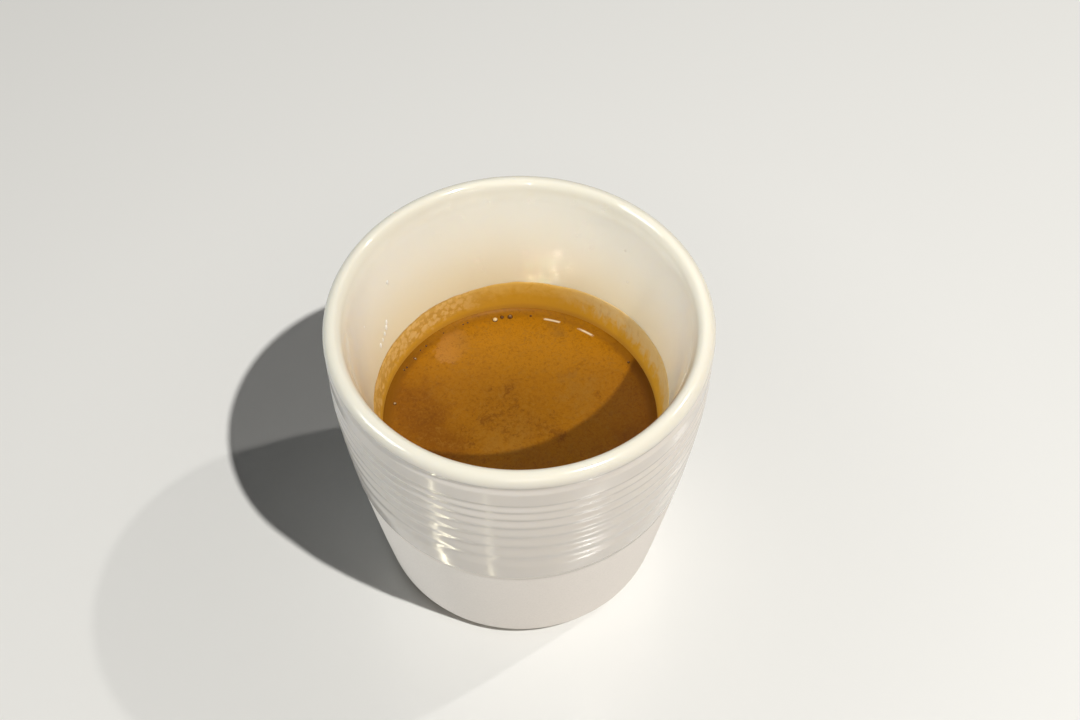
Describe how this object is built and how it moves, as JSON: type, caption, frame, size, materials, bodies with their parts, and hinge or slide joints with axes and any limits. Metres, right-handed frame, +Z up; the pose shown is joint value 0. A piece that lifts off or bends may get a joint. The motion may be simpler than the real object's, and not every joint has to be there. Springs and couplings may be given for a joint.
{
  "type": "espresso shot",
  "caption": "Espresso with a level crema, poured part of the way up a handleless porcelain cup with a rounded lip, soft ridges and a bare clay foot.",
  "frame": {"origin": "centre of the foot, at the level of the table", "axes": "+Z up along the axis of the cup"},
  "size_m": [0.064, 0.064, 0.062],
  "materials": {
    "porcelain": "clear glossy glaze inside and on the ridged upper wall, bare matt clay on the lower wall and foot",
    "espresso": "wet golden brown foam with darker mottling and a dark edge where it climbs the wall"
  },
  "bodies": {
    "root": {"cup": "porcelain", "espresso": "espresso"}
  },
  "joints": []
}
